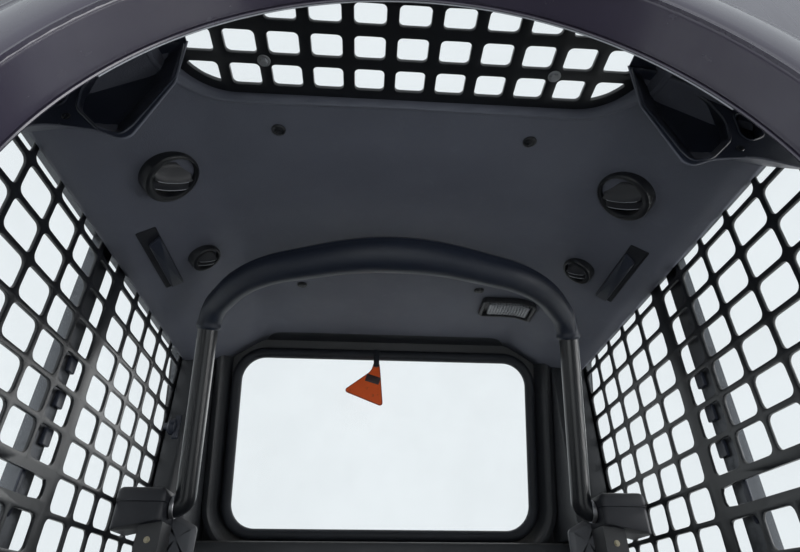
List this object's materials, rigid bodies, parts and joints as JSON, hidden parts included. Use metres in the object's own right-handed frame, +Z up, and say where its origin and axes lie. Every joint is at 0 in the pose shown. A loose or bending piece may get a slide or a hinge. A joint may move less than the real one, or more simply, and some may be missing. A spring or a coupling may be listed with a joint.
{
  "type": "skid steer loader operator cab",
  "caption": "Enclosed operator cab with punched side screens, roof and rear windows, a moulded headliner, a seat and an overhead restraint bar that swings down.",
  "frame": {"origin": "middle of the cab's footprint, on the flat face it stands on", "axes": "+Z up, +Y towards the rear window, -Y towards the door opening, +X to the right in a view through the door"},
  "size_m": [0.96, 1.3, 1.444],
  "materials": {
    "frame_paint": "satin dark grey paint",
    "screen_paint": "satin black paint",
    "door_paint": "glossy purple-grey paint",
    "floor_paint": "matt paint",
    "bar_paint": "gloss black paint",
    "window_aluminium": "grey anodised",
    "glass": "clear",
    "gasket_rubber": "matt",
    "tread_rubber": "ribbed",
    "liner_plastic": "grained dark grey",
    "vent_plastic": "moulded black",
    "trim_plastic": "moulded dark grey",
    "pod_plastic": "moulded black",
    "sleeve_plastic": "grained blue-black",
    "lamp_lens": "clear ribbed lens",
    "tag_plastic": "orange-red",
    "seat_vinyl": "black vinyl"
  },
  "bodies": {
    "cab": {"side_frame_right": "frame_paint", "side_frame_left": "frame_paint", "base_beams": "frame_paint", "tilt_lugs": "frame_paint", "side_screen_right": "screen_paint", "side_screen_left": "screen_paint", "window_frame_right": "window_aluminium", "window_frame_left": "window_aluminium", "window_panes_right": "glass", "window_panes_left": "glass", "lower_panel_right": "frame_paint", "lower_panel_left": "frame_paint", "rear_wall": "frame_paint", "rear_gasket": "gasket_rubber", "rear_glass": "glass", "roof_panel": "frame_paint", "roof_grille": "screen_paint", "roof_glass": "glass", "roof_beam_rear": "frame_paint", "headliner": "liner_plastic", "vents_right": "vent_plastic", "vents_left": "vent_plastic", "door_frame": "door_paint", "corner_pod_right": "pod_plastic", "corner_pod_left": "pod_plastic", "pivot_housing_right": "pod_plastic", "pivot_housing_left": "pod_plastic", "pivot_posts": "frame_paint", "floor_pan": "floor_paint", "seat_platform": "floor_paint", "seat_base": "frame_paint", "seat_cushion": "seat_vinyl", "seat_back": "seat_vinyl", "console_right": "trim_plastic", "console_left": "trim_plastic", "control_levers": "pod_plastic", "pedals": "tread_rubber", "dome_lamp": "lamp_lens", "liner_clips": "vent_plastic", "side_lamps": "pod_plastic", "pillar_trim_right": "trim_plastic", "pillar_trim_left": "trim_plastic", "rear_ledge": "trim_plastic", "exit_tag": "tag_plastic"},
    "restraint_bar": {"bar_arms": "bar_paint", "bar_sleeve": "sleeve_plastic"}
  },
  "joints": [
    {"name": "restraint_bar_hinge", "type": "hinge", "parent": "cab", "child": "restraint_bar", "pos_m": [0, 0.258, 1.015], "axis": [1, 0, 0], "range_deg": [0, 100]}
  ]
}
